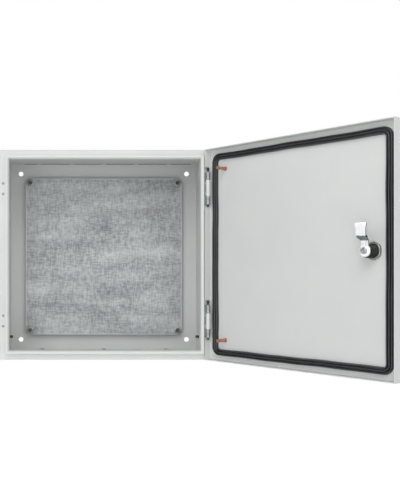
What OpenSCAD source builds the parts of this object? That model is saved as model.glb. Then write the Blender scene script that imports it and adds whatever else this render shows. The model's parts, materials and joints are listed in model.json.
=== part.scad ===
// Sheet-steel wall enclosure with a hinged door, millimetres, +Z up.
// The origin is the centre of the wall-hole pattern on the rear face, and the front looks along -Y.
// The driving sizes are those of the closed enclosure. The door stands open by door_open.

/* [Enclosure] */
// Width across the side walls
body_w = 400; // [300:50:600]
// Height across the end sheets
body_h = 400; // [300:50:700]
// Depth from the rear face to the front of the closed door
body_d = 210; // [180:10:300]
// Sheet thickness of the body and the door
sheet_t = 1.5; // [1.25:0.25:2]
// Inner bend radius of the body's folds
fold_r = 1; // [0.5:0.5:1.5]
// Inner bend radius of the rear corners and the door's edges
corner_r = 1.5; // [1:0.5:2]

/* [Door rim] */
// How far the gutter lies behind the front of the door
gutter_depth = 18; // [18:0.5:22]
// Gutter width, from the outer face of the body to the lip
gutter_w = 12; // [12:0.5:16]
// Lip height above the gutter
lip_rise = 10.5; // [8:0.5:10.5]
// Width of the folded lip
lip_w = 5; // [4.5:0.5:6]
// Length of the lip's return into the body
return_l = 26; // [22:1:28]

/* [Wall fixing] */
// Wall hole centres, in from the outer faces
wall_hole_in = 22.5; // [20:0.5:28]
// Wall hole diameter
wall_hole_d = 10; // [8:0.5:11]

/* [Mounting plate] */
// Plate edges, in from the outer faces of the body
plate_in = 32.5; // [30:0.5:40]
// Plate thickness
plate_t = 2; // [1.5:0.5:3]
// Front face of the plate, from the rear face of the body
plate_front = 16; // [14:1:30]
// Depth of the plate's folded edges
plate_fold = 8; // [6:1:10]
// Chamfer of the plate's corners
plate_cut = 10; // [8:1:14]
// Stud centres, in from the outer faces of the body
stud_in = 44; // [42:1:60]
// Thread diameter of the plate studs
stud_d = 8; // [6:1:8]
// Stud length in front of the plate
stud_out = 12; // [11:1:20]
// Nut width across flats
nut_af = 13; // [13:1:15]
// Nut height
nut_h = 6.5; // [5:0.5:8]
// Washer diameter
washer_d = 17; // [16:1:19]
// Washer thickness
washer_t = 1.6; // [1:0.2:2]
// Spacer diameter
spacer_d = 14; // [12:1:16]

/* [Earth studs] */
// Thread diameter of the earth studs
earth_d = 6; // [5:1:8]
// Length of the body's earth studs
earth_l = 16; // [12:1:16]
// Body earth studs, forward of the rear face
earth_v = 118; // [60:2:140]
// Body earth studs, up from the bottom face
earth_up = 38; // [30:1:60]
// Length of the door's earth studs
door_earth_l = 23; // [15:1:25]
// Door earth studs, in from the hinge edge of the door
door_earth_in = 40; // [38:1:60]
// Door earth studs, in from the ends of the door
door_earth_end = 39.5; // [36:0.5:60]

/* [Door] */
// How far the door stands back from the body's outer faces
door_gap = 0.5; // [0.5:0.25:1]
// Depth of the door's edge flanges, over the panel
door_flange = 16; // [14:0.5:16]
// Angle at which the door stands open
door_open = 127; // [100:1:128]

/* [Hinges] */
// Hinge axis, in from the body's outer face
axis_in = 4; // [3.5:0.25:4.25]
// Hinge axis, behind the front of the door
axis_back = 10.5; // [10.5:0.25:11]
// Hinge centres, in from the ends of the body
hinge_end = 74; // [60:1:90]
// Hinge length over its three knuckles
hinge_l = 62; // [56:2:70]
// Length of the door's middle knuckle
knuckle_l = 30.5; // [26:0.5:34]
// Knuckle diameter
knuckle_d = 8; // [7:0.25:8]
// Pin diameter
pin_d = 4; // [3.5:0.25:4.5]
// Pin length above the top knuckle
pin_above = 7.5; // [5:0.5:9]
// Pin length below the bottom knuckle
pin_below = 4; // [3:0.5:6]
// Distance between the two screws of a hinge
screw_pitch = 20; // [16:1:22]
// Hinge screw centres, in from the body's outer face
screw_in = 6.75; // [6.5:0.25:7.25]
// Hinge screw thread diameter
screw_d = 5; // [4:0.5:5]

/* [Door seal] */
// Outer edge of the seal, in from the body's outer faces
seal_in = 10.5; // [10.5:0.25:11]
// Seal width
seal_w = 12; // [11:0.5:14]
// Seal height over its ridges
seal_h = 5.6; // [5:0.1:5.8]
// Height of the seal's base strip
seal_base = 3.2; // [2.5:0.1:4]
// Width of one ridge
ridge_w = 2.2; // [1.6:0.1:2.6]
// Outer corner radius of the seal
seal_corner = 17; // [16:0.5:20]

/* [Lock] */
// Lock centre, in from the free edge of the door
lock_in = 45; // [45:0.5:50]
// Housing diameter
lock_d = 22; // [20:1:24]
// Diameter of the housing's front flange
lock_flange_d = 28; // [26:1:32]
// Thickness of the front flange
lock_flange_t = 2; // [1.5:0.5:3]
// Thickness of the seal under the flange
lock_seal_t = 0.8; // [0.6:0.1:1.2]
// Rear end of the housing, behind the front of the door
lock_reach = 22.4; // [18:0.2:23]
// Lock nut width across flats
lock_nut_af = 27; // [27:1:30]
// Lock nut height
lock_nut_h = 5; // [4:0.5:7]
// Diameter of the turning core
core_d = 14; // [12:0.5:15]
// Size of the square drive behind the core
drive_sq = 8; // [7:0.5:9]

/* [Cam] */
// Cam thickness
cam_t = 3; // [2.5:0.5:3]
// Radius of the cam's eye
cam_eye_r = 9.6; // [8.5:0.2:10]
// Width of the cam's neck
cam_neck_w = 12; // [10:0.5:14]
// Width of the cam's tongue
cam_tongue_w = 17; // [15:0.5:18]
// Reach of the tongue from the axis
cam_reach = 43; // [38:0.5:43]
// Radius at which the step begins
cam_step_r = 16; // [14:0.5:16]
// Length over which the step runs
cam_step_l = 7; // [6:0.5:8]

/* [Gland plate] */
// Opening width
gland_w = 240; // [160:10:240]
// Opening depth
gland_d = 80; // [60:5:90]
// Margin of the gland plate around the opening
gland_margin = 16; // [14:1:20]
// Thickness of the gland plate's gasket
gland_seal_t = 1; // [0.8:0.2:2]
// Thread diameter of the gland screws
gland_screw_d = 5; // [4:1:6]

/* [Hidden] */
$fn = 48;

half_w = body_w / 2;
half_h = body_h / 2;
eps = 0.01;

// Clearances
slip = 0.05;
thread_gap = 0.02;
hole_gap = 0.25;
knuckle_gap = 0.25;
notch_gap = 1.5;

// Rim of the body, as distances forward of the rear face
gutter_v = body_d - gutter_depth;
lip_v = gutter_v + lip_rise;
return_v = lip_v - return_l;
flange_v = gutter_v - sheet_t;
edge_r = fold_r + sheet_t;
bend_v = gutter_v - edge_r;
flat_in = gutter_w - corner_r;
return_in = gutter_w + lip_w;
miter = 2 * return_in;

// Door
door_w = body_w - 2 * door_gap;
door_h = body_h - 2 * door_gap;
panel_v = body_d - sheet_t;
flange_tip_v = body_d - door_flange;
door_edge_r = corner_r + sheet_t;

// Hinges
axis_x = half_w - axis_in;
axis_v = body_d - axis_back;
hinge_z = half_h - hinge_end;
knuckle_r = knuckle_d / 2;
bore_r = pin_d / 2 + slip;
lug_l = (hinge_l - knuckle_l) / 2 - knuckle_gap;
leaf_out = axis_in - door_gap - sheet_t;
notch_v = axis_v + knuckle_r + 1;
plate_side_x = half_w - flat_in + 0.1;
bracket_t = 2.4;
bracket_w = axis_x + 0.5 - plate_side_x;
pin_head_l = 2.5;
pin_head_r = pin_d / 2 + 0.7;
screw_head_h = 3;
screw_head_r = screw_d * 0.9;

// Mounting plate and its studs
plate_back = plate_front - plate_t;
plate_r = plate_t + fold_r;
stud_x = half_w - stud_in;
stud_z = half_h - stud_in;
weld_h = 1;

// Lock
lock_x = half_w - door_gap - lock_in;
lock_v = body_d - lock_reach;
cam_front_v = lock_v - 0.5;
cam_back_v = return_v - 0.4;
cam_drop = cam_front_v - cam_back_v;
cam_washer_t = 1;
cam_screw_d = 6;
cam_head_h = 3.5;

// Gland plate
gland_v = body_d / 2 - 8;
gland_bolt_x = gland_w / 2 + gland_margin / 2;
gland_bolt_v = gland_d / 2 + gland_margin / 2;
gland_plate_t = sheet_t;

// Turns the drawing so that y grows toward the front
module front() {
    mirror([0, 1, 0])
        children();
}

// Extrudes a shape drawn in x and z from one distance behind the front to another
module along_v(near, far) {
    translate([0, far, 0])
        rotate([90, 0, 0])
            linear_extrude(far - near)
                children();
}

// Extrudes a shape drawn in y and z along x
module along_x(near, far) {
    translate([near, 0, 0])
        rotate([90, 0, 90])
            linear_extrude(far - near)
                children();
}

module along_z(near, far) {
    translate([0, 0, near])
        linear_extrude(far - near)
            children();
}

// A rod parallel to y, standing at x and z
module rod(x, z, r, near, far, sides = $fn) {
    along_v(near, far)
        translate([x, z])
            circle(r, $fn = sides);
}

// Both a shape and its mirror image in x
module both_sides() {
    children();
    mirror([1, 0, 0])
        children();
}

// A quarter of a sheet's bend around the origin, in the quadrant given by the signs
module bend(inner, t, sx, sy) {
    intersection() {
        difference() {
            circle(inner + t);
            circle(inner);
        }
        translate([sx > 0 ? 0 : -(inner + t), sy > 0 ? 0 : -(inner + t)])
            square(inner + t);
    }
}

// Rounded rectangle about the origin
module round_rect(w, h, r) {
    square([w - 2 * r, h], center = true);
    square([w, h - 2 * r], center = true);
    for (x = [-1, 1], z = [-1, 1])
        translate([x * (w / 2 - r), z * (h / 2 - r)])
            circle(r);
}

// The stretch of a frame's right side between its mitred corners, in x and z
module miter_side(hw, hh, depth) {
    polygon([[hw, hh], [hw - depth, hh - depth], [hw - depth, depth - hh], [hw, -hh]]);
}

// The stretch of a frame's top between its mitred corners, in x and z
module miter_top(hw, hh, depth) {
    polygon([[-hw, hh], [hw, hh], [hw - depth, hh - depth], [depth - hw, hh - depth]]);
}

// A profile drawn inward from the edge, run along the right side of a frame
module side_run(hw, hh) {
    along_z(-hh, hh)
        translate([hw, 0])
            mirror([1, 0])
                children();
}

// The same profile, run along the top of a frame between two x
module top_run(hh, from_x, to_x) {
    along_x(from_x, to_x)
        translate([0, hh])
            rotate(-90)
                children();
}

// Bend and flat of the gutter, in distance from the outer face and from the rear
module gutter_profile() {
    translate([edge_r, bend_v])
        bend(fold_r, sheet_t, -1, 1);
    translate([edge_r, flange_v])
        square([flat_in - edge_r, sheet_t]);
}

// Bend up from the gutter, outer layer, folded tip and return
module lip_profile() {
    fold_in = gutter_w + lip_w / 2;
    fold_v = lip_v - lip_w / 2;
    translate([flat_in, gutter_v + corner_r])
        bend(corner_r, sheet_t, 1, -1);
    translate([gutter_w, gutter_v + corner_r])
        square([sheet_t, fold_v - gutter_v - corner_r]);
    translate([fold_in, fold_v])
        for (side = [-1, 1])
            bend(lip_w / 2 - sheet_t, sheet_t, side, 1);
    translate([return_in - sheet_t, return_v])
        square([sheet_t, fold_v - return_v]);
}

// Wall fixing holes through the back
module wall_holes() {
    for (x = [-1, 1], z = [-1, 1])
        rod(x * (half_w - wall_hole_in), z * (half_h - wall_hole_in), wall_hole_d / 2,
            -1, sheet_t + 1);
}

// Places of the two hinge screws about z = 0, repeated at both hinges
module at_hinge_screws() {
    for (z = [-hinge_z, hinge_z], s = [-1, 1])
        translate([half_w - screw_in, 0, z + s * screw_pitch / 2])
            children();
}

module hinge_holes() {
    both_sides()
        at_hinge_screws()
            rod(0, 0, screw_d / 2 + hole_gap, flange_v - 1, gutter_v + 1);
}

// Both side walls and the back, folded from one sheet
module body_wrap() {
    rear_r = corner_r + sheet_t;
    color("gainsboro") front() difference() {
        union() {
            along_z(sheet_t - half_h, half_h - sheet_t)
                both_sides() {
                    square([half_w - rear_r, sheet_t]);
                    translate([half_w - rear_r, rear_r])
                        bend(corner_r, sheet_t, 1, -1);
                    translate([half_w - sheet_t, rear_r])
                        square([sheet_t, bend_v - rear_r]);
                }
            both_sides() {
                along_z(-half_h, half_h - flat_in)
                    translate([half_w, 0])
                        mirror([1, 0])
                            gutter_profile();
                along_z(half_h - flat_in, half_h - edge_r)
                    translate([half_w - sheet_t, bend_v])
                        square([sheet_t, flange_v - bend_v]);
                intersection() {
                    side_run(half_w, half_h)
                        lip_profile();
                    along_v(return_v - 1, lip_v + 1)
                        miter_side(half_w, half_h, miter);
                }
            }
        }
        wall_holes();
        hinge_holes();
    }
}

// Flat of an end sheet, with the rear corners rounded like the wrap's
module end_flat() {
    rear_r = corner_r + sheet_t;
    along_z(half_h - sheet_t, half_h) {
        translate([-half_w, rear_r])
            square([body_w, bend_v - rear_r]);
        translate([rear_r - half_w, 0])
            square([body_w - 2 * rear_r, rear_r]);
        for (x = [-1, 1])
            translate([x * (half_w - rear_r), rear_r])
                circle(rear_r);
    }
}

// Lip of an end sheet between its mitred corners
module end_lip() {
    intersection() {
        top_run(half_h, -half_w, half_w)
            lip_profile();
        along_v(return_v - 1, lip_v + 1)
            miter_top(half_w, half_h, miter);
    }
}

// Rounds the front corners of the top end like the walls' bends, so that the door clears them
module front_corner_cuts() {
    both_sides()
        along_z(half_h - flat_in - 1, half_h + 1)
            translate([half_w - edge_r, bend_v])
                difference() {
                    square(edge_r + 1);
                    circle(edge_r);
                }
}

module top_end() {
    color("gainsboro") front() difference() {
        union() {
            end_flat();
            top_run(half_h, -half_w, half_w)
                gutter_profile();
            end_lip();
        }
        front_corner_cuts();
    }
}

// Screw places of the gland plate, in x and distance from the rear
module gland_pattern() {
    for (x = [-1, 0, 1], v = [-1, 1])
        translate([x * gland_bolt_x, gland_v + v * gland_bolt_v])
            children();
}

module gland_holes(near, far) {
    along_z(near, far)
        gland_pattern()
            circle(gland_screw_d / 2 + hole_gap);
}

// Rectangle with rounded corners, centred on the gland opening
module gland_outline(grow) {
    translate([0, gland_v])
        round_rect(gland_w + 2 * grow, gland_d + 2 * grow, 4 + grow / 4);
}

// The bottom is drawn like the top and mirrored, and its gutter stops between the sides
module bottom_end() {
    inner_w = half_w - flat_in;
    color("gainsboro") front() difference() {
        mirror([0, 0, 1]) union() {
            end_flat();
            top_run(half_h, -inner_w, inner_w)
                gutter_profile();
            both_sides()
                along_z(half_h - sheet_t, half_h)
                    translate([inner_w, bend_v])
                        square([flat_in - edge_r, flange_v - bend_v]);
            end_lip();
        }
        along_z(-half_h - 1, 1 - half_h + sheet_t)
            gland_outline(0);
        gland_holes(-half_h - 1, 1 - half_h + sheet_t);
    }
}

gland_seal_z = sheet_t - half_h;
gland_plate_z = gland_seal_z + gland_seal_t;
gland_nut_z = gland_plate_z + gland_plate_t;

module gland_gasket() {
    color("dimgray") front() difference() {
        along_z(gland_seal_z, gland_plate_z)
            difference() {
                gland_outline(gland_margin);
                gland_outline(1);
            }
        gland_holes(gland_seal_z - 1, gland_plate_z + 1);
    }
}

module gland_plate() {
    color("gainsboro") front() difference() {
        along_z(gland_plate_z, gland_nut_z)
            gland_outline(gland_margin);
        gland_holes(gland_plate_z - 1, gland_nut_z + 1);
    }
}

// Screws from below: a flat round head outside, the shank up through the nut
module gland_screws() {
    nut_top = gland_nut_z + gland_screw_d * 0.8;
    color("silver") front() {
        along_z(-half_h - gland_screw_d * 0.6, -half_h)
            gland_pattern()
                circle(gland_screw_d);
        along_z(-half_h - eps, nut_top + 1)
            gland_pattern()
                circle(gland_screw_d / 2);
    }
}

module gland_nuts() {
    color("silver") front() along_z(gland_nut_z, gland_nut_z + gland_screw_d * 0.8)
        gland_pattern()
            difference() {
                circle(gland_screw_d * 0.92, $fn = 6);
                circle(gland_screw_d / 2 + thread_gap);
            }
}

module at_plate_studs() {
    for (x = [-stud_x, stud_x], z = [-stud_z, stud_z])
        translate([x, 0, z])
            children();
}

// One folded edge of the plate, in distance from its edge and from the rear
module plate_edge_profile() {
    translate([0, plate_front - plate_fold])
        square([plate_t, plate_fold - plate_r]);
    translate([plate_r, plate_front - plate_r])
        bend(fold_r, plate_t, -1, 1);
}

// Flat pan with chamfered corners and edges folded back
module mounting_plate() {
    hw = half_w - plate_in;
    hh = half_h - plate_in;
    fw = hw - plate_r;
    fh = hh - plate_r;
    cw = hw - plate_cut;
    ch = hh - plate_cut;
    color("darkgray") front() difference() {
        union() {
            along_v(plate_back, plate_front)
                polygon([
                    [fw, ch], [cw, fh], [-cw, fh], [-fw, ch],
                    [-fw, -ch], [-cw, -fh], [cw, -fh], [fw, -ch]
                ]);
            both_sides()
                side_run(hw, ch)
                    plate_edge_profile();
            for (flip = [0, 1])
                mirror([0, 0, flip])
                    top_run(hh, -cw, cw)
                        plate_edge_profile();
        }
        at_plate_studs()
            rod(0, 0, stud_d / 2 + 0.5, plate_back - 1, plate_front + 1);
    }
}

// Welded studs with a small weld collar
module plate_studs() {
    color("peru") front() at_plate_studs() {
        rod(0, 0, stud_d / 2, sheet_t, plate_front + stud_out - 1);
        translate([0, plate_front + stud_out - 1 - eps, 0])
            rotate([-90, 0, 0])
                cylinder(h = 1, r1 = stud_d / 2, r2 = stud_d / 2 - 0.8);
        rod(0, 0, stud_d / 2 + 1, sheet_t, sheet_t + weld_h);
    }
}

module plate_spacers() {
    color("silver") front() at_plate_studs() difference() {
        rod(0, 0, spacer_d / 2, sheet_t, plate_back);
        rod(0, 0, stud_d / 2 + 0.2, 0, plate_front);
        rod(0, 0, stud_d / 2 + 1 + slip, 0, sheet_t + weld_h + slip);
    }
}

module plate_washers() {
    color("silver") front() at_plate_studs() difference() {
        rod(0, 0, washer_d / 2, plate_front, plate_front + washer_t);
        rod(0, 0, stud_d / 2 + 0.2, 0, plate_front + washer_t + 1);
    }
}

module plate_nuts() {
    seat = plate_front + washer_t;
    color("silver") front() at_plate_studs() difference() {
        rod(0, 0, nut_af / 2 / cos(30), seat, seat + nut_h, 6);
        rod(0, 0, stud_d / 2 + thread_gap, seat - 1, seat + nut_h + 1);
    }
}

// Studs on the inner faces of both side walls
module earth_studs_body() {
    color("sienna") front() both_sides()
        translate([half_w - sheet_t, earth_v, earth_up - half_h])
            rotate([0, -90, 0]) {
                cylinder(h = earth_l - 0.8, d = earth_d);
                translate([0, 0, earth_l - 0.8 - eps])
                    cylinder(h = 0.8, r1 = earth_d / 2, r2 = earth_d / 2 - 0.7);
                cylinder(h = weld_h, d = earth_d + 2);
            }
}

// Bracket on the gutter: a base strip and the two outer knuckles
module hinge_bracket() {
    color("silver") front() difference() {
        union() {
            along_z(-hinge_l / 2, hinge_l / 2)
                translate([plate_side_x, gutter_v])
                    square([bracket_w, bracket_t]);
            for (flip = [0, 1])
                mirror([0, 0, flip])
                    along_z(hinge_l / 2 - lug_l, hinge_l / 2) {
                        translate([axis_x, axis_v])
                            circle(knuckle_r);
                        translate([axis_x - knuckle_r, gutter_v])
                            square([knuckle_r + 0.5, axis_v - gutter_v]);
                    }
        }
        along_z(-hinge_l, hinge_l)
            translate([axis_x, axis_v])
                circle(pin_d / 2 + thread_gap);
        for (s = [-1, 1])
            rod(half_w - screw_in, s * screw_pitch / 2, screw_d / 2 + thread_gap,
                gutter_v - 1, gutter_v + bracket_t + 1);
    }
}

module hinge_pin() {
    color("dimgray") front() translate([axis_x, axis_v, 0]) {
        translate([0, 0, -hinge_l / 2 - pin_below])
            cylinder(h = hinge_l + pin_above + pin_below - 0.6, d = pin_d);
        translate([0, 0, hinge_l / 2 + pin_above - pin_head_l - 0.6])
            cylinder(h = pin_head_l, r = pin_head_r);
        translate([0, 0, hinge_l / 2 + pin_above - 0.6 - eps])
            cylinder(h = 0.6, r1 = pin_head_r, r2 = pin_head_r - 0.6);
    }
}

// Screws from behind the gutter into the brackets
module hinge_screws() {
    color("silver") front() at_hinge_screws() {
        rod(0, 0, screw_head_r, flange_v - screw_head_h, flange_v);
        rod(0, 0, screw_d / 2, flange_v - eps, gutter_v + bracket_t - 0.2);
    }
}

// Plugs in the unused hinge holes of the other side
module hinge_hole_plugs() {
    color("dimgray") front() mirror([1, 0, 0]) at_hinge_screws() {
        rod(0, 0, screw_d / 2 + hole_gap - slip, flange_v - eps, gutter_v - 0.4);
        rod(0, 0, screw_d / 2 + 1.2, flange_v - 1.2, flange_v);
    }
}

// Swings a part of the closed door out to where the door stands
module opened() {
    translate([axis_x, axis_v, 0])
        rotate([0, 0, -door_open])
            translate([-axis_x, -axis_v, 0])
                children();
}

// Section of a slab with its two front edges rounded, in x and distance from the rear
module slab_section(w, r, near, far) {
    translate([-w / 2, near])
        square([w, far - near - r]);
    translate([r - w / 2, near])
        square([w - 2 * r, far - near]);
    for (x = [-1, 1])
        translate([x * (w / 2 - r), far - r])
            circle(r);
}

// Slab whose four front edges are rounded
module slab(w, h, r, near, far) {
    intersection() {
        along_z(-h / 2, h / 2)
            slab_section(w, r, near, far);
        along_x(-w / 2, w / 2)
            mirror([1, -1])
                slab_section(h, r, near, far);
    }
}

// Room in the hinge-side flange for one hinge and its pin
module hinge_notch() {
    below = hinge_l / 2 + pin_below + notch_gap;
    above = hinge_l / 2 + pin_above + notch_gap;
    translate([axis_x, flange_tip_v - 1, -below])
        cube([axis_in + 1, notch_v - flange_tip_v + 1, below + above]);
}

module door_panel() {
    inner_w = door_w - 2 * sheet_t;
    inner_h = door_h - 2 * sheet_t;
    color("whitesmoke") front() opened() difference() {
        slab(door_w, door_h, door_edge_r, flange_tip_v, body_d);
        slab(inner_w, inner_h, corner_r, flange_tip_v - 1, panel_v);
        for (z = [-hinge_z, hinge_z])
            translate([0, 0, z])
                hinge_notch();
        rod(-lock_x, 0, lock_d / 2 + slip, panel_v - 1, body_d + 1);
    }
}

// Middle knuckle with the leaf that joins it to the door's edge and panel
module door_knuckle() {
    leaf_in = 2;
    top = panel_v - axis_v;
    cut = corner_r + 0.2;
    color("whitesmoke") front() opened() difference() {
        along_z(-knuckle_l / 2, knuckle_l / 2)
            translate([axis_x, axis_v]) {
                circle(knuckle_r);
                polygon([
                    [-leaf_in, 0], [leaf_out, 0], [leaf_out, top - cut],
                    [leaf_out - cut, top], [-leaf_in, top]
                ]);
            }
        along_z(-knuckle_l, knuckle_l)
            translate([axis_x, axis_v])
                circle(bore_r);
    }
}

// A closed band of the seal between two distances from its outer edge
module seal_band(from_in, to_in) {
    w = body_w - 2 * seal_in;
    h = body_h - 2 * seal_in;
    difference() {
        round_rect(w - 2 * from_in, h - 2 * from_in, seal_corner - from_in);
        round_rect(w - 2 * to_in, h - 2 * to_in, seal_corner - to_in);
    }
}

// Flat strip with three ridges
module door_gasket() {
    pitch = (seal_w - ridge_w) / 2;
    color("dimgray") front() opened() union() {
        along_v(panel_v - seal_base, panel_v)
            seal_band(0, seal_w);
        for (i = [0:2])
            along_v(panel_v - seal_h, panel_v - seal_base + eps)
                seal_band(i * pitch, i * pitch + ridge_w);
    }
}

module earth_studs_door() {
    color("sienna") front() opened()
        for (z = [-1, 1])
            translate([
                door_w / 2 - door_earth_in, panel_v, z * (door_h / 2 - door_earth_end)
            ])
                rotate([90, 0, 0]) {
                    cylinder(h = door_earth_l - 0.8, d = earth_d);
                    translate([0, 0, door_earth_l - 0.8 - eps])
                        cylinder(h = 0.8, r1 = earth_d / 2, r2 = earth_d / 2 - 0.7);
                    cylinder(h = weld_h, d = earth_d + 2);
                }
}

// Housing through the door, with its flange outside
module lock_housing() {
    flange_v1 = body_d + lock_seal_t;
    color("dimgray") front() opened() difference() {
        union() {
            rod(-lock_x, 0, lock_d / 2, lock_v, flange_v1 + eps);
            rod(-lock_x, 0, lock_flange_d / 2, flange_v1, flange_v1 + lock_flange_t);
        }
        rod(-lock_x, 0, core_d / 2 + slip, lock_v - 1, flange_v1 + lock_flange_t + 1);
    }
}

module lock_seal() {
    color("black") front() opened() difference() {
        rod(-lock_x, 0, lock_flange_d / 2 - 1, body_d, body_d + lock_seal_t);
        rod(-lock_x, 0, lock_d / 2 + slip, body_d - 1, body_d + lock_seal_t + 1);
    }
}

module lock_nut() {
    color("dimgray") front() opened() difference() {
        along_v(panel_v - lock_nut_h, panel_v)
            translate([-lock_x, 0])
                rotate(30)
                    circle(lock_nut_af / 2 / cos(30), $fn = 6);
        rod(-lock_x, 0, lock_d / 2 + thread_gap, panel_v - lock_nut_h - 1, panel_v + 1);
    }
}

// Turning core: key socket in front, square drive behind
module lock_core() {
    front_v = body_d + lock_seal_t + lock_flange_t;
    socket_d = 10;
    socket_depth = 8;
    color("silver") front() opened() difference() {
        union() {
            rod(-lock_x, 0, core_d / 2, cam_front_v, front_v);
            along_v(cam_front_v - cam_t, cam_front_v + eps)
                translate([-lock_x, 0])
                    square(drive_sq, center = true);
        }
        difference() {
            rod(-lock_x, 0, socket_d / 2, front_v - socket_depth, front_v + 1);
            along_v(front_v - socket_depth - 1, front_v - 1)
                translate([-lock_x, 0]) {
                    circle(2.6);
                    square([7.6, 1.8], center = true);
                }
        }
        rod(-lock_x, 0, cam_screw_d / 2 + thread_gap, cam_front_v - cam_t - 1,
            cam_front_v + 8);
    }
}

// Neck and tongue of the cam as it points up, in x and z from the lock's axis
module cam_blade() {
    shoulder = cam_step_r + 2;
    half_n = cam_neck_w / 2;
    half_t = cam_tongue_w / 2;
    polygon([
        [-half_n, 0], [-half_n, shoulder], [-half_t, shoulder + 4], [-half_t, cam_reach - 7],
        [-1, cam_reach], [half_t, cam_reach - 1], [half_t, shoulder + 4], [half_n, shoulder],
        [half_n, 0]
    ]);
}

// Side view of the cam, as a strip that steps back behind the lip's return
module cam_side() {
    step = sqrt(cam_drop * cam_drop + cam_step_l * cam_step_l);
    lag = cam_t * (step - cam_step_l) / cam_drop;
    polygon([
        [cam_front_v, -cam_eye_r - 1], [cam_front_v, cam_step_r],
        [cam_back_v, cam_step_r + cam_step_l], [cam_back_v, cam_reach + 1],
        [cam_back_v - cam_t, cam_reach + 1], [cam_back_v - cam_t, cam_step_r + cam_step_l - lag],
        [cam_front_v - cam_t, cam_step_r - lag], [cam_front_v - cam_t, -cam_eye_r - 1]
    ]);
}

module cam() {
    color("silver") front() opened() translate([-lock_x, 0, 0]) difference() {
        intersection() {
            along_x(-cam_tongue_w, cam_tongue_w)
                cam_side();
            union() {
                rod(0, 0, cam_eye_r, cam_back_v, cam_front_v + 1);
                along_v(cam_back_v - cam_t - 1, cam_front_v + 1)
                    cam_blade();
            }
        }
        along_v(cam_front_v - cam_t - 1, cam_front_v + 1)
            square(drive_sq + 2 * slip, center = true);
    }
}

module cam_washer() {
    seat = cam_front_v - cam_t;
    color("silver") front() opened() difference() {
        rod(-lock_x, 0, cam_eye_r - 1.4, seat - cam_washer_t, seat);
        rod(-lock_x, 0, cam_screw_d / 2 + slip, seat - cam_washer_t - 1, seat + 1);
    }
}

module cam_screw() {
    seat = cam_front_v - cam_t - cam_washer_t;
    color("silver") front() opened() {
        rod(-lock_x, 0, cam_screw_d * 0.85, seat - cam_head_h, seat);
        rod(-lock_x, 0, cam_screw_d / 2, seat - eps, cam_front_v + 7);
    }
}

body_wrap();
top_end();
bottom_end();
gland_gasket();
gland_plate();
gland_screws();
gland_nuts();
mounting_plate();
plate_studs();
plate_spacers();
plate_washers();
plate_nuts();
earth_studs_body();
translate([0, 0, hinge_z]) hinge_bracket();  // hinge_bracket_top
translate([0, 0, -hinge_z]) hinge_bracket();  // hinge_bracket_bottom
translate([0, 0, hinge_z]) hinge_pin();  // hinge_pin_top
translate([0, 0, -hinge_z]) hinge_pin();  // hinge_pin_bottom
hinge_screws();
hinge_hole_plugs();
door_panel();
translate([0, 0, hinge_z]) door_knuckle();  // door_knuckle_top
translate([0, 0, -hinge_z]) door_knuckle();  // door_knuckle_bottom
door_gasket();
earth_studs_door();
lock_housing();
lock_seal();
lock_nut();
lock_core();
cam();
cam_washer();
cam_screw();
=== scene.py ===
"""Sheet-steel wall enclosure with its door standing open: finishes, turned and threaded small parts,
ridged door seal, welds, studio and camera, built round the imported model."""

import json
import math

import bpy
import numpy as np
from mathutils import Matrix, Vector


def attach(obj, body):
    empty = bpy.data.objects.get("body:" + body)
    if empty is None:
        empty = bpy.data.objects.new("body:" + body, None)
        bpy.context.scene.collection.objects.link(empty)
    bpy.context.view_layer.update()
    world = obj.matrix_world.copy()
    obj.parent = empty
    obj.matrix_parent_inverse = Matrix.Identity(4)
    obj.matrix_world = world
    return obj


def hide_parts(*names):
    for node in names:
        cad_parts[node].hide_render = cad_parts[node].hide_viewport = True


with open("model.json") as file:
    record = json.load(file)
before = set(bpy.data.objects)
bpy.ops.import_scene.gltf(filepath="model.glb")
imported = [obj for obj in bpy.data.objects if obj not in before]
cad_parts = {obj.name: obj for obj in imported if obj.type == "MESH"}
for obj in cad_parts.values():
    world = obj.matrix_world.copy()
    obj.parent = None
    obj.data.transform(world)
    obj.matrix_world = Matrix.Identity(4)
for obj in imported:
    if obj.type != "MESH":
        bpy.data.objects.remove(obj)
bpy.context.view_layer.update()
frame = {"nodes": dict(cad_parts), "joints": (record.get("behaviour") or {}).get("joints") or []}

MM = 0.001
TURN = 2 * math.pi
UP = np.array([0.0, 0.0, 1.0])
FRONT = np.array([0.0, -1.0, 0.0])
RIGHT = np.array([1.0, 0.0, 0.0])
nodes = frame["nodes"]

# ---------------------------------------------------------------- Sizes, in millimetres

SHEET = 1.5
BODY_HALF = 200.0
PANEL = 208.5  # inner face of the closed door's panel, forward of the rear face
HINGE_Z = 126.0
SEAL_IN = 10.5  # outer edge of the seal, in from the body's outer faces
SEAL_WIDTH = 12.0
SEAL_CORNER = 17.0
SEAL_BASE = 2.2
SEAL_HEIGHT = 5.6
LOCK_X = 154.5
PLATE_STUD = 156.0
PLATE_FRONT = 16.0
WASHER_THICK = 1.6

# The door stands open by the swing from its rest pose back to its lower limit
hinge = next(j for j in frame["joints"] if j["name"] == "door_hinge")
HINGE_FOOT = np.array(hinge["pos_m"], float)
OPEN = math.radians(127.0)
COS_OPEN, SIN_OPEN = math.cos(OPEN), math.sin(OPEN)
SWING = np.array([[COS_OPEN, -SIN_OPEN, 0.0], [SIN_OPEN, COS_OPEN, 0.0], [0.0, 0.0, 1.0]])
INWARD = np.array([-SIN_OPEN, COS_OPEN, 0.0])  # from the panel into the room that the door closes
FREEWARD = np.array([-COS_OPEN, -SIN_OPEN, 0.0])  # from the hinges to the free edge


def on_body(x, forward, z):
    """Place on the body in metres, from millimetres right, forward of the rear face and up."""
    return np.stack(np.broadcast_arrays(x, -np.asarray(forward), z), axis=-1) * MM


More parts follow.
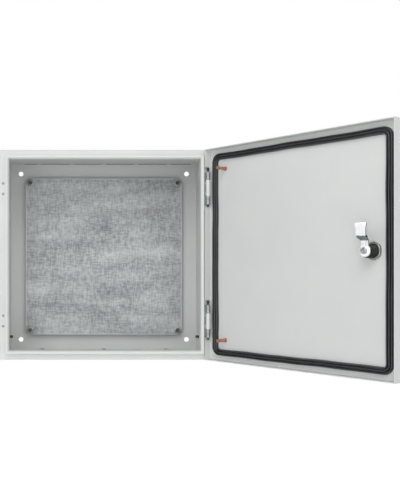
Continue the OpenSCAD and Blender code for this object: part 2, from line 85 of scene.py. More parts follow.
def on_door(x, forward, z):
    """The same for a part of the closed door, swung about the hinge axis to where the door stands.
    x, forward and z may be whole arrays."""
    closed = np.stack([x, -forward, z], axis=-1) * MM - HINGE_FOOT
    return closed @ SWING.T + HINGE_FOOT


def stood(points, foot, axis, up):
    """Local millimetres to metres: local z runs along axis from foot, and local y along up."""
    axis = axis / np.linalg.norm(axis)
    up = up - axis * np.dot(up, axis)
    up = up / np.linalg.norm(up)
    return foot + (points * MM) @ np.array([np.cross(up, axis), up, axis])


# ---------------------------------------------------------------- Surfaces

def loft(rings, looped=False):
    """Skin over an array of rings (ring, corner, xyz): each ring is joined to the next by quads.
    The last ring joins the first when looped, and otherwise both ends are closed by flat faces."""
    count, corners, _ = rings.shape
    index = np.arange(count * corners).reshape(count, corners)
    if looped:
        index = np.vstack([index, index[:1]])
    here, beside = index, np.roll(index, -1, axis=1)
    quads = np.stack([here[:-1], beside[:-1], beside[1:], here[1:]], axis=-1).reshape(-1, 4)
    faces = [quads]
    if not looped:
        faces += [index[0][::-1][None], index[-1][None]]
    points = rings.reshape(-1, 3)
    a, b, c = (points[quads[:, i]] for i in range(3))
    d = points[quads[:, 3]]
    middle = points.mean(0)
    # Six times the enclosed volume, summed over each quad's two triangles seen from the middle
    volume = np.einsum("ij,ij->", a - middle, np.cross(b - middle, c - middle))
    volume += np.einsum("ij,ij->", a - middle, np.cross(c - middle, d - middle))
    if volume < 0:
        faces = [f[:, ::-1] for f in faces]
    return points, faces


def piece(name, parts, body, material, stands_for=(), smooth=40.0):
    """One object at the origin from several lofts, shaded smooth where faces meet below an angle."""
    points = np.concatenate([p for p, _ in parts])
    offsets = np.cumsum([0] + [len(p) for p, _ in parts[:-1]])
    faces = [f + start for (_, group), start in zip(parts, offsets) for f in group]
    totals = np.concatenate([np.full(len(f), f.shape[1]) for f in faces])
    loops = np.concatenate([f.ravel() for f in faces])
    mesh = bpy.data.meshes.new(name)
    mesh.vertices.add(len(points))
    mesh.vertices.foreach_set("co", points.astype(np.float32).ravel())
    mesh.loops.add(len(loops))
    mesh.loops.foreach_set("vertex_index", loops.astype(np.int32))
    mesh.polygons.add(len(totals))
    mesh.polygons.foreach_set("loop_start", np.cumsum(totals) - totals)
    mesh.update(calc_edges=True)
    mesh.validate()
    mesh.shade_smooth()
    mesh.set_sharp_from_angle(angle=math.radians(smooth))
    made = bpy.data.objects.new(name, mesh)
    bpy.context.scene.collection.objects.link(made)
    mesh.materials.append(material)
    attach(made, body)
    if stands_for:
        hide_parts(*stands_for)
    return made


def turned(profile, sides=48):
    """Rings of a turned part: each (radius, height) of the profile carried round the axis."""
    angle = np.arange(sides) / sides * TURN
    radius, height = np.array(profile, float).T[:, :, None]
    shape = np.broadcast_arrays(radius * np.cos(angle), radius * np.sin(angle), height)
    return np.stack(shape, axis=-1)


def threaded(diameter, pitch, start, end, sides=28, steps=8, depth=0.61, tip=0.8, collar=0.0):
    """Rings of a screw thread: the radius falls by a triangle wave of height less turn,
    the tip is chamfered at 45 degrees, and a weld collar swells the foot."""
    rows = int((end - start) / pitch * steps) + 1
    height = np.linspace(start, end, rows)[:, None]
    angle = (np.arange(sides) / sides)[None]
    wave = np.abs(((height / pitch - angle) % 1.0) * 2 - 1)
    crest = np.clip(wave * 1.25, 0.0, 1.0)
    radius = diameter / 2 - depth * pitch * (1 - crest)
    radius = np.minimum(radius, diameter / 2 - tip + (end - height))
    if collar:
        swell = collar * np.clip(1 - (height - start) / 1.3, 0, 1) ** 0.5
        radius = np.where(swell > 0, diameter / 2 + swell, radius)
    turn = angle * TURN
    return np.stack(np.broadcast_arrays(radius * np.cos(turn), radius * np.sin(turn), height), axis=-1)


def hex_nut(flats, height, bore, sides=72):
    """Rings of a hexagon nut: the outside is the smaller of the hexagon and a 30 degree cone."""
    angle = np.arange(sides) / sides * TURN
    sector = (angle + TURN / 12) % (TURN / 6) - TURN / 12
    outline = flats / 2 / np.cos(sector)
    levels = np.array([0.0, 0.35, 0.8, height - 0.8, height - 0.35, height])
    depth = np.minimum(levels, height - levels)
    cone = flats / 2 * 0.97 + np.clip(depth, 0, None)[:, None] / math.tan(math.radians(30))
    outer = np.minimum(outline[None], cone)
    inner = np.array([bore + 0.5, bore, bore, bore + 0.5])
    inner_level = np.array([height, height - 0.5, 0.5, 0.0])
    radius = np.vstack([outer, np.repeat(inner[:, None], sides, axis=1)])
    level = np.concatenate([levels, inner_level])[:, None]
    return np.stack(np.broadcast_arrays(
        radius * np.cos(angle), radius * np.sin(angle), level), axis=-1)


def screw_head(radius, height, recess=0.42, sides=64):
    """Rings of a pan head with a cross recess: a domed height, less a smooth cross-shaped pit."""
    share = np.array([1.0, 1.0, 0.97, 0.9, 0.8, 0.7, 0.6, 0.52, 0.44, 0.36, 0.28, 0.2, 0.12, 0.05])
    level = np.array([0.0, 0.5, 0.72, 0.84, 0.91, 0.95, 0.97, 0.98, 0.99, 1, 1, 1, 1, 1]) * height
    angle = (np.arange(sides) / sides * TURN)[None]
    x = radius * share[:, None] * np.cos(angle)
    y = radius * share[:, None] * np.sin(angle)
    arm = np.minimum(np.abs(x), np.abs(y))
    reach = np.hypot(x, y)
    inside = np.clip((radius * 0.17 - arm) / (radius * 0.07), 0, 1)
    inside = inside * np.clip((radius * 0.62 - reach) / (radius * 0.08), 0, 1)
    pit = recess * height * inside * (1.25 - reach / radius)
    return np.stack([x, y, level[:, None] - pit], axis=-1)


# ---------------------------------------------------------------- Materials

# Depth of surface texture in metres: rolled or plated metal, and powder coat or moulded skin
FINE_DEPTH = 0.00002
SKIN_DEPTH = 0.00003
POLYMER_IOR = 1.52


def linear(hex_colour):
    """sRGB hex to linear RGBA."""
    value = np.array([int(hex_colour[i:i + 2], 16) for i in (1, 3, 5)]) / 255
    value = np.where(value <= 0.04045, value / 12.92, ((value + 0.055) / 1.055) ** 2.4)
    return (*value, 1.0)


def add_node(tree, kind, sockets=None, **settings):
    """Adds one node with its settings. Each named socket is linked, or set if a plain value is given."""
    node = tree.nodes.new(kind)
    for key, value in settings.items():
        setattr(node, key, value)
    for key, value in (sockets or {}).items():
        if isinstance(value, bpy.types.NodeSocket):
            tree.links.new(value, node.inputs[key])
        else:
            node.inputs[key].default_value = value
    return node


def start_material(name, **shader):
    """A material with its shader, whose constants are set on the shader's own sockets."""
    material = bpy.data.materials.new(name)
    material.use_nodes = True
    tree = material.node_tree
    tree.nodes.clear()
    place = add_node(tree, "ShaderNodeTexCoord").outputs["Object"]
    bsdf = add_node(tree, "ShaderNodeBsdfPrincipled", shader)
    add_node(tree, "ShaderNodeOutputMaterial", {"Surface": bsdf.outputs["BSDF"]})
    return material, tree, place, bsdf


def grain(tree, place, size, low, high, stretch=(1, 1, 1), detail=2.0, edges=(0.3, 0.7)):
    """A value that wanders between low and high, with features of that many millimetres
    and stretched along the axes as given."""
    spread = tuple(1 / s for s in stretch)
    moved = add_node(tree, "ShaderNodeMapping", {"Vector": place, "Scale": spread})
    noise = add_node(tree, "ShaderNodeTexNoise", {
        "Vector": moved.outputs["Vector"], "Scale": 1 / (size * MM), "Detail": detail})
    ranged = add_node(tree, "ShaderNodeMapRange", {
        "Value": noise.outputs["Fac"], "From Min": edges[0], "From Max": edges[1],
        "To Min": low, "To Max": high})
    return ranged.outputs["Result"]


def shade(tree, amount, dark, light):
    """A colour between two, by amount."""
    # The colour sockets of this node are its seventh and eighth, and the third output
    mixed = add_node(tree, "ShaderNodeMix", {
        "Factor": amount, 6: linear(dark), 7: linear(light)}, data_type="RGBA")
    return mixed.outputs[2]


def powder_coat(name, dark, light):
    """Polyester powder coat in light grey, sprayed and baked on sheet steel: satin, with the
    slight orange peel of baked powder. Peel is about 1.5 mm across."""
    material, tree, place, bsdf = start_material(
        name, **{"Roughness": 0.42, "IOR": 1.5})
    tone = grain(tree, place, 60.0, 0.0, 1.0, detail=3.0)
    tree.links.new(shade(tree, tone, dark, light), bsdf.inputs["Base Color"])
    peel = grain(tree, place, 1.6, 0.0, 1.0, detail=2.0)
    bump = add_node(tree, "ShaderNodeBump", {
        "Height": peel, "Distance": SKIN_DEPTH, "Strength": 0.5})
    tree.links.new(bump.outputs["Normal"], bsdf.inputs["Normal"])
    rough = grain(tree, place, 8.0, 0.38, 0.46)
    tree.links.new(rough, bsdf.inputs["Roughness"])
    return material


def galvanised():
    """Hot-dip galvanised sheet, skin-passed in the mill: grey zinc with a fine cross-hatch of
    short rolling streaks about 4 mm apart, cloudy patches, and broader bands along the sheet."""
    material, tree, place, bsdf = start_material(
        "galvanised_sheet_steel", **{"Metallic": 0.3, "Roughness": 0.58})
    upright = grain(tree, place, 2.8, 0.0, 1.0, stretch=(1, 1, 5), detail=2.0, edges=(0.36, 0.64))
    level = grain(tree, place, 2.8, 0.0, 1.0, stretch=(4, 1, 1), detail=2.0, edges=(0.36, 0.64))
    cloud = grain(tree, place, 50.0, 0.0, 1.0, stretch=(1.6, 1, 1), detail=2.0)
    band = grain(tree, place, 22.0, 0.0, 1.0, stretch=(7, 1, 1), detail=1.0)
    crossed = add_node(tree, "ShaderNodeMath", {0: upright, 1: level}, operation="ADD")
    clouded = add_node(tree, "ShaderNodeMath", {0: crossed.outputs[0], 1: cloud}, operation="ADD")
    banded = add_node(tree, "ShaderNodeMath", {0: clouded.outputs[0], 1: band}, operation="ADD")
    share = add_node(tree, "ShaderNodeMath", {0: banded.outputs[0], 1: 0.25}, operation="MULTIPLY")
    # Painted highlight: the folded edges are made paler over their last 2.5 mm, for the light their
    # bends catch
    axes = add_node(tree, "ShaderNodeSeparateXYZ", {0: place})
    across = add_node(tree, "ShaderNodeMath", {0: axes.outputs["X"]}, operation="ABSOLUTE")
    along = add_node(tree, "ShaderNodeMath", {0: axes.outputs["Z"]}, operation="ABSOLUTE")
    reach = add_node(tree, "ShaderNodeMath", {
        0: across.outputs[0], 1: along.outputs[0]}, operation="MAXIMUM")
    rim = add_node(tree, "ShaderNodeMapRange", {
        "Value": reach.outputs[0], "From Min": 0.1635, "From Max": 0.1655,
        "To Min": 0.0, "To Max": 0.75})
    grain_and_edge_highlight = add_node(tree, "ShaderNodeMath", {
        0: share.outputs[0], 1: rim.outputs["Result"]}, operation="ADD")
    grain_and_edge_highlight.use_clamp = True
    tree.links.new(shade(tree, grain_and_edge_highlight.outputs[0], "#666A6E", "#CBCDCE"), bsdf.inputs["Base Color"])
    bump = add_node(tree, "ShaderNodeBump", {
        "Height": crossed.outputs[0], "Distance": FINE_DEPTH, "Strength": 0.4})
    tree.links.new(bump.outputs["Normal"], bsdf.inputs["Normal"])
    return material


def plated(name, dark, light, rough, size=1.2, metallic=1.0, painted_shade_depth=0.0):
    """A plating or oxide on steel, a fine metal skin: its tone and gloss wander a little, as tumbled or
    barrel-plated parts do. The last argument is how far the tone falls, as painted shade, where the
    piece's attribute for the steepness of its joggle is 1; where that attribute is 0 or missing, the
    tone is raised by up to 0.75, as painted highlight."""
    material, tree, place, bsdf = start_material(
        name, **{"Metallic": metallic, "Roughness": rough})
    tone = grain(tree, place, size * 3, 0.0, 1.0, detail=3.0)
    # Painted light and shade: the tone is raised on flat parts and lowered on the climb of the joggle
    if painted_shade_depth:
        bend = add_node(tree, "ShaderNodeAttribute", attribute_name="joggle_steepness")
        painted_light_shift = add_node(tree, "ShaderNodeMapRange", {
            "Value": bend.outputs["Fac"], "From Min": 0.2, "From Max": 0.8,
            "To Min": 0.75, "To Max": -painted_shade_depth})
        joined = add_node(tree, "ShaderNodeMath", {
            0: tone, 1: painted_light_shift.outputs["Result"]}, operation="ADD")
        joined.use_clamp = True
        tone = joined.outputs[0]
    tree.links.new(shade(tree, tone, dark, light), bsdf.inputs["Base Color"])
    gloss = grain(tree, place, size * 2, rough * 0.8, rough * 1.25)
    tree.links.new(gloss, bsdf.inputs["Roughness"])
    pits = grain(tree, place, size, 0.0, 1.0, detail=3.0)
    bump = add_node(tree, "ShaderNodeBump", {
        "Height": pits, "Distance": FINE_DEPTH, "Strength": 0.4})
    tree.links.new(bump.outputs["Normal"], bsdf.inputs["Normal"])
    return material


def moulded(name, dark, light, rough, gloss=0.5):
    """A moulded or extruded polymer: even colour, satin, with a faint skin texture."""
    material, tree, place, bsdf = start_material(
        name, **{"Roughness": rough, "IOR": POLYMER_IOR, "Specular IOR Level": gloss})
    tone = grain(tree, place, 20.0, 0.0, 1.0)
    tree.links.new(shade(tree, tone, dark, light), bsdf.inputs["Base Color"])
    skin = grain(tree, place, 0.9, 0.0, 1.0)
    bump = add_node(tree, "ShaderNodeBump", {
        "Height": skin, "Distance": SKIN_DEPTH, "Strength": 0.4})
    tree.links.new(bump.outputs["Normal"], bsdf.inputs["Normal"])
    return material


coat = powder_coat("light_grey_powder_coat", "#D2D5D3", "#D6D8D6")
zinc_sheet = galvanised()
# Bright zinc over steel: bluish white, half gloss
bright_zinc = plated("bright_zinc_plating", "#9DA4A6", "#CDD2D3", 0.33)
# Polished nickel-chrome on pressed steel: nearly a mirror, a little wavy; it is paler on flat faces and
# darker on the cam's joggle, as painted highlight and painted shade
chrome = plated("chromed_steel", "#6E7375", "#ECEEEF", 0.16, size=2.5, painted_shade_depth=1.0)
# Copper flash of drawn-arc weld studs, tarnished: dull red-brown
copper = plated("copper_flashed_weld_stud", "#7E4E40", "#AC7860", 0.44, metallic=0.55)
# The same behind the plate's nuts, browned by the weld's heat
browned = plated("heat_browned_copper_flash", "#332E2C", "#6C625D", 0.45, metallic=0.6)
# Zinc plating passivated and handled, on the pressed hinge: rough mid grey, fine streaks
dull_zinc = plated("passivated_zinc_plating", "#767D7F", "#A2A8AA", 0.52, size=0.8, metallic=0.7)
# Weathered zinc plating of the plate's nuts: mid grey, half gloss
weathered_zinc = plated("weathered_zinc_plating", "#767B7D", "#B2B6B8", 0.4, metallic=0.8)
# Black-oxide steel: dark brown-black with a low sheen
dark_steel = plated("black_oxide_steel", "#26272A", "#3C3D40", 0.45)
# Nickel-plated zinc of the lock's nut: warm mid grey
nickel = plated("dull_nickel_plating", "#6A6B66", "#8F908B", 0.34)
rubber = moulded("extruded_epdm_rubber", "#1D1F21", "#292B2D", 0.36)
black_cast = moulded("black_coated_die_casting", "#08090A", "#101112", 0.3, gloss=0.2)
# Plastic plugs sprayed over with the body: grey, darker than the coat as painted shade of the holes they
# fill
plug_grey_and_hole_shade = moulded("painted_over_plug", "#7F8482", "#B4B8B6", 0.5)

FINISH = {
    coat: ("body_wrap", "top_end", "bottom_end", "gland_plate", "door_panel",
           "door_knuckle_top", "door_knuckle_bottom"),
    zinc_sheet: ("mounting_plate",),
    bright_zinc: ("plate_spacers", "plate_washers", "plate_nuts", "gland_screws", "gland_nuts",
                  "hinge_screws"),
    dull_zinc: ("hinge_bracket_top", "hinge_bracket_bottom"),
    plug_grey_and_hole_shade: ("hinge_hole_plugs",),
    chrome: ("lock_core", "cam", "cam_washer", "cam_screw"),
    copper: ("plate_studs", "earth_studs_body", "earth_studs_door"),
    dark_steel: ("hinge_pin_top", "hinge_pin_bottom"),
    nickel: ("lock_nut",),
    rubber: ("gland_gasket", "door_gasket", "lock_seal"),
    black_cast: ("lock_housing",),
}
for material, names in FINISH.items():
    for name in names:
        for place in nodes[name].material_slots:
            place.material = material

# ---------------------------------------------------------------- Door seal

def seal_path(per_side=64, per_corner=14):
    """Outer edge of the seal, as points, inward normals and the distance along it. It is a
    rounded rectangle in closed-door x and z, run from the middle of the hinge side."""
    half = BODY_HALF - SEAL_IN
    straight = half - SEAL_CORNER
    side = np.linspace(-straight, straight, per_side, endpoint=False)
    sweep = np.linspace(0, TURN / 4, per_corner, endpoint=False)
    points, normals = [], []
    for quarter in range(4):
        turn = quarter * TURN / 4
        run = np.stack([np.full(per_side, half), side], axis=1)
        bend = straight + SEAL_CORNER * np.stack([np.cos(sweep), np.sin(sweep)], axis=1)
        inward = np.vstack([np.tile([-1.0, 0.0], (per_side, 1)),
                            -np.stack([np.cos(sweep), np.sin(sweep)], axis=1)])
        spin = np.array([[math.cos(turn), math.sin(turn)], [-math.sin(turn), math.cos(turn)]])
        points.append(np.vstack([run, bend]) @ spin)
        normals.append(inward @ spin)
    points, normals = np.vstack(points), np.vstack(normals)
    steps = np.linalg.norm(np.roll(points, -1, axis=0) - points, axis=1)
    return points, normals, np.cumsum(steps) - steps


def seal_rings():
    """Section of the strip carried round the path. Its height over the panel is the base plus
    three half-round ridges. The strip wanders by a few tenths, and swells at the lower hinge."""
    points, normals, along = seal_path()
    across = np.linspace(0.0, SEAL_WIDTH, 49)
    total = along[-1]
    wander = 0.28 * np.sin(along / 31.0) + 0.2 * np.sin(along / 13.0 + 1.0)
    at_hinge = (points[:, 0] > BODY_HALF - SEAL_IN - 1)
    swell = np.where(at_hinge, np.exp(-((points[:, 1] + HINGE_Z - 4) / 17.0) ** 2), 0.0)
    height = np.full((len(points), len(across)), SEAL_BASE)
    for number, centre in enumerate((1.5, SEAL_WIDTH / 2, SEAL_WIDTH - 1.5)):
        drift = 0.16 * np.sin(along / 17.0 + 2.1 * number)
        gap = np.abs(across[None] - centre - drift[:, None]) / 1.75
        height += (SEAL_HEIGHT - SEAL_BASE) * np.sqrt(np.clip(1 - gap ** 2, 0, None))
    edge = np.minimum(across, SEAL_WIDTH - across)[None]
    height = np.minimum(height, 0.9 + 5.2 * np.sqrt(np.clip(edge, 0, None)))
    widened = across[None] - SEAL_WIDTH / 2
    widened = widened * (1 + 0.16 * swell[:, None]) + SEAL_WIDTH / 2 + wander[:, None]
    widened = np.clip(widened, -0.9, None)
    inward = np.concatenate([widened, widened[:, -1:], widened[:, :1]], axis=1)
    lift = np.concatenate([height, np.zeros((len(points), 2))], axis=1)
    flat = points[:, None, :] + normals[:, None, :] * inward[..., None]
    return on_door(flat[..., 0], PANEL - lift, flat[..., 1])


piece("door_seal", [loft(seal_rings(), looped=True)], "door", rubber,
      ("door_gasket",), smooth=60)

# ---------------------------------------------------------------- Studs, nuts and screws

corners = [(x, z) for x in (-1, 1) for z in (-1, 1)]

stud = threaded(8.0, 1.25, SHEET, 28.0, collar=1.0)
piece("plate_weld_studs", [
    loft(stood(stud, on_body(x * PLATE_STUD, 0, z * PLATE_STUD), FRONT, UP)) for x, z in corners
], "enclosure", browned, ("plate_studs",))

washer = turned([(4.2, 0.0), (8.2, 0.0), (8.5, 0.3), (8.5, 1.3), (8.2, 1.6), (4.2, 1.6)])
piece("plate_flat_washers", [
    loft(stood(washer, on_body(x * PLATE_STUD, PLATE_FRONT, z * PLATE_STUD), FRONT, UP), looped=True)
    for x, z in corners
], "enclosure", zinc_sheet, ("plate_washers",))

nut = hex_nut(13.0, 6.5, 4.02)
piece("plate_hexagon_nuts", [
    loft(stood(nut, on_body(x * PLATE_STUD, PLATE_FRONT + WASHER_THICK, z * PLATE_STUD), FRONT,
               np.array([math.sin(0.3 * x + 0.7 * z), 0, math.cos(0.3 * x + 0.7 * z)])), looped=True)
    for x, z in corners
], "enclosure", weathered_zinc, ("plate_nuts",))

short_stud = threaded(6.0, 1.0, 0.0, 16.0, collar=1.0)
piece("wall_earth_studs", [
    loft(stood(short_stud, on_body(side * (BODY_HALF - SHEET), 118.0, -162.0), -side * RIGHT, UP))
    for side in (-1, 1)
], "enclosure", browned, ("earth_studs_body",))

long_stud = threaded(6.0, 1.0, 0.0, 23.0, collar=1.0)
piece("door_weld_studs", [
    loft(stood(long_stud, on_door(159.5, PANEL, z), INWARD, UP)) for z in (-160.0, 160.0)
], "door", copper, ("earth_studs_door",))

# ---------------------------------------------------------------- Hinge pins

for name, z, node in (("upper_hinge_pin", HINGE_Z, "hinge_pin_top"),
                      ("lower_hinge_pin", -HINGE_Z, "hinge_pin_bottom")):
    pin = turned([(1.2, -35.0), (1.8, -34.7), (2.0, -34.2), (2.0, 35.4), (2.6, 35.5), (2.7, 35.8),
                  (2.7, 37.6), (2.4, 38.2), (1.4, 38.5)], 32)
    piece(name, [loft(stood(pin, on_body(196.0, 199.5, z), UP, FRONT))], "enclosure",
          dark_steel, (node,))

# ---------------------------------------------------------------- Lock

def lock_place(inward):
    """A place on the lock's axis, millimetres inward of the panel's inner face."""
    return on_door(-LOCK_X, PANEL - inward, 0.0)


def housing_rings():
    """Housing of the lock: bore, chamfered end, thread of 22 mm, and the flange outside."""
    thread = threaded(22.0, 1.5, -2.3, 20.4, sides=72, steps=8, tip=0.7)[::-1]
    end = turned([(7.05, 20.9), (10.0, 20.9)], 72)
    flange = turned([(10.9, -2.3), (13.6, -2.3), (14.0, -2.7), (14.0, -3.6), (13.2, -4.3),
                     (8.2, -4.3), (7.05, -3.9), (7.05, 20.9)], 72)
    return np.concatenate([end, thread, flange])[:-1]


piece("lock_threaded_housing", [
    loft(stood(housing_rings(), lock_place(0), INWARD, UP), looped=True)
], "door", black_cast, ("lock_housing",), smooth=30)

big_nut = hex_nut(27.0, 5.0, 11.02)
piece("lock_ring_nut", [
    loft(stood(big_nut, lock_place(0), INWARD, UP), looped=True)
], "door", nickel, ("lock_nut",))


EYE = 9.6  # radius of the cam's round eye
NECK = 14.6  # from the lock's axis to the foot of the climb
TIP = 43.0  # from the lock's axis to the end of the tongue


def cam_rings(thick=3.0, rise=11.0, slope=math.radians(57.5), bend=3.2):
    """Pressed cam: the centre line runs up the neck, climbs by a joggle with round bends and
    runs on as the tongue. Each ring is a rounded oblong across it. The two top corners are
    turned out of the plane about a slanting fold, forward on one side and back on the other.
    Also gives how steep the climb is at each point, from 0 to 1."""
    arc = bend * slope
    straight = (rise - 2 * bend * (1 - math.cos(slope))) / math.sin(slope)
    marks = np.cumsum([0.0, EYE + NECK, arc, straight, arc, 60.0])
    s = np.concatenate([
        EYE - EYE * np.cos(np.linspace(0.04, TURN / 4, 20)),
        np.linspace(EYE, marks[1], 22)[1:], np.linspace(marks[1], marks[4], 26)[1:],
        marks[4] + np.linspace(0, TIP - NECK - 7.0, 50)[1:]])
    angle = np.interp(s, marks[:6], [0, 0, slope, slope, 0, 0])
    step = np.diff(s, prepend=s[0])
    along = -EYE + s[0] + np.cumsum(step * np.cos(angle))
    lift = np.cumsum(step * np.sin(angle))
    keep = along <= TIP
    s, angle, along, lift = s[keep], angle[keep], along[keep], lift[keep]
    eye = np.sqrt(np.clip(EYE ** 2 - along ** 2, 0.01, None))
    blade = np.interp(along, [0, 17.0, 20.5, 60], [6.0, 6.0, 8.5, 8.5])
    half = np.where(along < 0, eye, np.maximum(np.where(along < EYE, eye, 0), blade))
    across = np.linspace(-1, 1, 35)
    rim = np.array([0.55, 0.28, 0.0, -0.28, -0.55])
    face = thick / 2
    # One ring: the front face left to right, the right edge, the back face, the left edge
    u = np.concatenate([across * 0.985, np.ones(5), across[::-1] * 0.985, -np.ones(5)])
    n = np.concatenate([np.full(35, 1.0), rim * 1.5, np.full(35, -1.0), -rim * 1.5]) * face
    x = half[:, None] * u[None]
    up = along[:, None] - np.sin(angle)[:, None] * n[None]
    out = lift[:, None] + np.cos(angle)[:, None] * n[None]
    # Corner folds, from 6.6 mm down the side to the middle of the top edge
    for side, turn in ((-1, math.radians(38)), (1, math.radians(-14))):
        fold = np.array([6.9, 8.0]) / math.hypot(6.9, 8.0)
        beyond = (side * x) * fold[0] + (up - TIP) * fold[1]
        beyond = np.where(up > 30, beyond - 0.35, -1.0)
        past = np.clip(beyond, 0, None)
        x = x - side * fold[0] * past * (1 - math.cos(turn))
        up = up - fold[1] * past * (1 - math.cos(turn))
        out = out + past * math.sin(turn)
    steep = np.broadcast_to(angle[:, None] / slope, x.shape)
    return np.stack([x, up, out], axis=-1), steep


# Inward of the panel: middle of the cam's thickness at its eye, its inner face, and the washer's
CAM_MIDDLE = 22.9
CAM_FACE = 24.4
WASHER_FACE = 25.4
cam_shape, cam_steep = cam_rings()
cam = piece("lock_cam", [
    loft(stood(cam_shape, lock_place(CAM_MIDDLE), INWARD, UP))
], "lock_core", chrome, ("cam",), smooth=32)
# The steepness of the climb, which the chrome turns into painted shade on the joggle
joggle_steepness = cam.data.attributes.new("joggle_steepness", "FLOAT", "POINT")
joggle_steepness.data.foreach_set("value", cam_steep.astype(np.float32).ravel())

tab_washer = turned([(3.1, 0.0), (7.9, 0.0), (8.2, 0.3), (8.2, 0.8), (7.9, 1.0), (3.1, 1.0)])
piece("cam_plain_washer", [
    loft(stood(tab_washer, lock_place(CAM_FACE), INWARD, UP), looped=True)
], "lock_core", chrome, ("cam_washer",))

cam_head = screw_head(5.1, 3.5)
shank = turned([(3.0, -14.0), (3.0, 0.2)], 32)
piece("cam_fixing_screw", [
    loft(stood(cam_head, lock_place(WASHER_FACE), INWARD, UP + 0.6 * FREEWARD)),
    loft(stood(shank, lock_place(WASHER_FACE), INWARD, UP)),
], "lock_core", weathered_zinc, ("cam_screw",))

# ---------------------------------------------------------------- Gland plate and hinge fixings

gland = [(x * 128.0, 97.0 + v * 48.0) for x in (-1, 0, 1) for v in (-1, 1)]
DOWN = -UP
gland_head = screw_head(5.0, 3.0)
gland_shank = turned([(2.5, -7.5), (2.5, 0.2)], 32)
piece("gland_pan_head_screws", [
    loft(stood(shape, on_body(x, v, -BODY_HALF), DOWN, FRONT))
    for x, v in gland for shape in (gland_head, gland_shank)
], "enclosure", bright_zinc, ("gland_screws",))
gland_nut = hex_nut(8.0, 4.0, 2.52)
piece("gland_hexagon_nuts", [
    loft(stood(gland_nut, on_body(x, v, -196.0), UP, FRONT), looped=True) for x, v in gland
], "enclosure", bright_zinc, ("gland_nuts",))

hinge_head = screw_head(4.5, 3.0)
hinge_shank = turned([(2.5, -3.7), (2.5, 0.2)], 32)
piece("hinge_pan_head_screws", [
    loft(stood(shape, on_body(193.25, 190.5, z * HINGE_Z + s * 10.0), -FRONT, UP))
    for z in (-1, 1) for s in (-1, 1) for shape in (hinge_head, hinge_shank)
], "enclosure", bright_zinc, ("hinge_screws",))

# ---------------------------------------------------------------- Lip of the door opening

# Section of the facing over the fold, as (in from the outer faces, forward of the rear face):
# a narrow blunt front, a face that slopes into the body, and the return's inner skin
LIP_SECTION = np.array([
    (11.95, 198.5), (11.95, 202.1), (12.4, 202.55), (15.6, 202.55), (18.05, 200.1),
    (18.05, 176.45), (16.9, 176.45), (16.9, 198.5)])


def lip_rings():
    """Each point of the section carried round the square opening, mitred at its corners: the
    point that lies s in from the outer faces runs through x and z of plus and minus 200 - s."""
    half = BODY_HALF - LIP_SECTION[:, :1]
    right = np.array([[1.0, -1.0, -1.0, 1.0]])
    top = np.array([[1.0, 1.0, -1.0, -1.0]])
    return on_body(half * right, LIP_SECTION[:, 1:], half * top)


piece("opening_lip_facing", [loft(lip_rings(), looped=True)], "enclosure", coat,
      smooth=20)

# ---------------------------------------------------------------- Welds and seams

def weld_bead(length, radius, ripple=1.4):
    """Rings of a weld bead: an ellipsoid along z with the small ripples of its pools."""
    rows = int(length / ripple * 5)
    t = np.linspace(-0.99, 0.99, rows)[:, None]
    angle = (np.arange(20) / 20 * TURN)[None]
    width = radius * np.sqrt(1 - t ** 2) * (1 + 0.07 * np.cos(t * length / 2 / ripple * TURN))
    return np.stack(np.broadcast_arrays(
        width * np.cos(angle), width * np.sin(angle), t * length / 2), axis=-1)


seam_top = BODY_HALF - SHEET
# Each bead lies in its inner corner, set in from both sheets so that it stays inside them
SET_SMALL, SET_LARGE = 0.6, 0.9
small = weld_bead(10.0, 1.6)
large = weld_bead(14.0, 1.9)
beads = [loft(stood(small, on_body(x, SHEET + SET_SMALL, seam_top - SET_SMALL), RIGHT, UP))
         for x in (-139.0, -69.0, 0.0, 69.0, 139.0)]
beads += [loft(stood(large, on_body(x, SHEET + SET_LARGE, SET_LARGE - seam_top), RIGHT, UP))
          for x in (-139.0, 0.0, 69.0, 139.0)]
beads += [loft(stood(small, on_body(side * (seam_top - SET_SMALL), v, z * (seam_top - SET_SMALL)),
                     FRONT, UP))
          for side in (-1, 1) for z in (-1, 1) for v in (30.0, 80.0, 130.0)]
piece("inside_stitch_welds", beads, "enclosure", coat, smooth=80)

# Painted shadow: a thin dark grey strip laid along the top rear seam stands in for the shade in its gap
seam = turned([(0.02, -170.0), (0.5, -168.0), (0.5, 186.0), (0.02, 188.0)], 12)
piece("painted_rear_seam_shadow", [
    loft(stood(seam * np.array([1.0, 0.35, 1.0]), on_body(0, SHEET, seam_top - 0.5), RIGHT, FRONT))
], "enclosure", moulded("painted_seam_shadow", "#555A58", "#5F6462", 0.7), smooth=80)

# ---------------------------------------------------------------- Studio

def lamp(name, place, aim, width, height, power):
    """A soft white rectangular lamp at a place, turned to its aim."""
    data = bpy.data.lights.new(name, "AREA")
    data.shape = "RECTANGLE"
    data.size, data.size_y = width, height
    data.energy = power
    made = bpy.data.objects.new(name, data)
    bpy.context.scene.collection.objects.link(made)
    made.location = place
    made.rotation_euler = (Vector(aim) - Vector(place)).to_track_quat("-Z", "Y").to_euler()


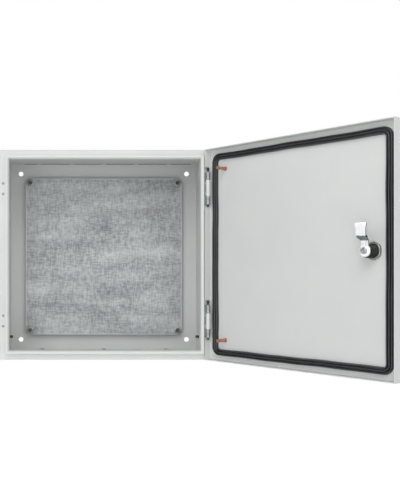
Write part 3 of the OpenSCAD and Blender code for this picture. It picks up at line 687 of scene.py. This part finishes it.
# Each lamp's place, aim, width and height in metres, and its power in watts
LAMPS = {
    "top_front_softbox": ((0.0, -1.7, 1.3), (0.1, -0.1, 0.0), 1.4, 1.0, 15.0),
    "front_fill": ((-0.5, -2.4, 0.4), (0.0, 0.0, 0.0), 1.4, 1.2, 10.0),
    "low_fill": ((0.0, -1.9, -0.5), (0.0, 0.0, 0.0), 1.4, 0.6, 6.0),
    "left_softbox": ((-1.9, -1.5, 0.5), (0.1, -0.2, 0.0), 1.5, 1.5, 9.5),
    "right_softbox": ((1.5, -2.0, 0.2), (0.1, -0.1, 0.0), 1.2, 1.2, 9.0),
    "rear_left_softbox": ((-1.5, 1.8, 0.8), (0.0, -0.1, 0.0), 1.4, 1.4, 30.0),
    "rear_right_softbox": ((1.9, 1.3, 0.8), (0.1, -0.2, 0.0), 1.4, 1.4, 26.0),
}
for name, (place, aim, width, height, power) in LAMPS.items():
    lamp(name, place, aim, width, height, power)

def plain_view(tree):
    """1 for rays from the camera, a reflection or glass, which see the background plain white."""
    path = add_node(tree, "ShaderNodeLightPath").outputs
    direct = add_node(tree, "ShaderNodeMath", {
        0: path["Is Camera Ray"], 1: path["Is Glossy Ray"]}, operation="MAXIMUM")
    either = add_node(tree, "ShaderNodeMath", {
        0: direct.outputs[0], 1: path["Is Transmission Ray"]}, operation="MAXIMUM")
    return either.outputs[0]


world = bpy.data.worlds.new("studio")
bpy.context.scene.world = world
world.use_nodes = True
tree = world.node_tree
tree.nodes.clear()
seen = plain_view(tree)
soft = add_node(tree, "ShaderNodeBackground", {"Color": linear("#F2F4F6"), "Strength": 0.18})
plain = add_node(tree, "ShaderNodeBackground", {"Color": (1, 1, 1, 1), "Strength": 1.0})
mixed = add_node(tree, "ShaderNodeMixShader", {
    0: seen, 1: soft.outputs[0], 2: plain.outputs[0]})
add_node(tree, "ShaderNodeOutputWorld", {"Surface": mixed.outputs[0]})

# Pale floor, some way below, as the enclosure hangs on its wall holes
FLOOR = -1.1
CELLS = 8
grid = np.linspace(-6.0, 6.0, CELLS + 1)
gx, gy = np.meshgrid(grid, grid)
floor_points = np.stack([gx, gy, np.full_like(gx, FLOOR)], axis=-1).reshape(-1, 3)
cell = (np.arange(CELLS)[:, None] * (CELLS + 1) + np.arange(CELLS)[None]).ravel()
floor_mesh = bpy.data.meshes.new("floor")
floor_mesh.from_pydata(floor_points.tolist(), [],
                       np.stack([cell, cell + 1, cell + CELLS + 2, cell + CELLS + 1],
                                axis=1).tolist())
floor = bpy.data.objects.new("floor", floor_mesh)
bpy.context.scene.collection.objects.link(floor)
paper = bpy.data.materials.new("matt_white_paper")
paper.use_nodes = True
tree = paper.node_tree
tree.nodes.clear()
matt = add_node(tree, "ShaderNodeBsdfPrincipled", {
    "Base Color": linear("#E9E9E9"), "Roughness": 0.9})
glow = add_node(tree, "ShaderNodeEmission", {"Color": (1, 1, 1, 1), "Strength": 0.82})
both = add_node(tree, "ShaderNodeAddShader", {0: matt.outputs[0], 1: glow.outputs[0]})
seen = plain_view(tree)
mixed = add_node(tree, "ShaderNodeMixShader", {
    0: seen, 1: matt.outputs[0], 2: both.outputs[0]})
add_node(tree, "ShaderNodeOutputMaterial", {"Surface": mixed.outputs[0]})
floor_mesh.materials.append(paper)

# ---------------------------------------------------------------- Camera

CAMERA_PLACE = (-0.0141, -1.6951, -0.0322)
FOCAL = 789.2 / 500 * 36  # on a 36 mm sensor side of 500 rows
camera_data = bpy.data.cameras.new("camera")
camera_data.sensor_fit = "AUTO"
camera_data.sensor_width = 36.0
camera_data.lens = FOCAL
camera_data.shift_x = 0.2056
camera_data.shift_y = 0.0434
camera = bpy.data.objects.new("camera", camera_data)
camera.location = CAMERA_PLACE
camera.rotation_euler = (TURN / 4, 0, 0)
bpy.context.scene.collection.objects.link(camera)
bpy.context.scene.camera = camera
bpy.context.scene.view_settings.view_transform = "Standard"
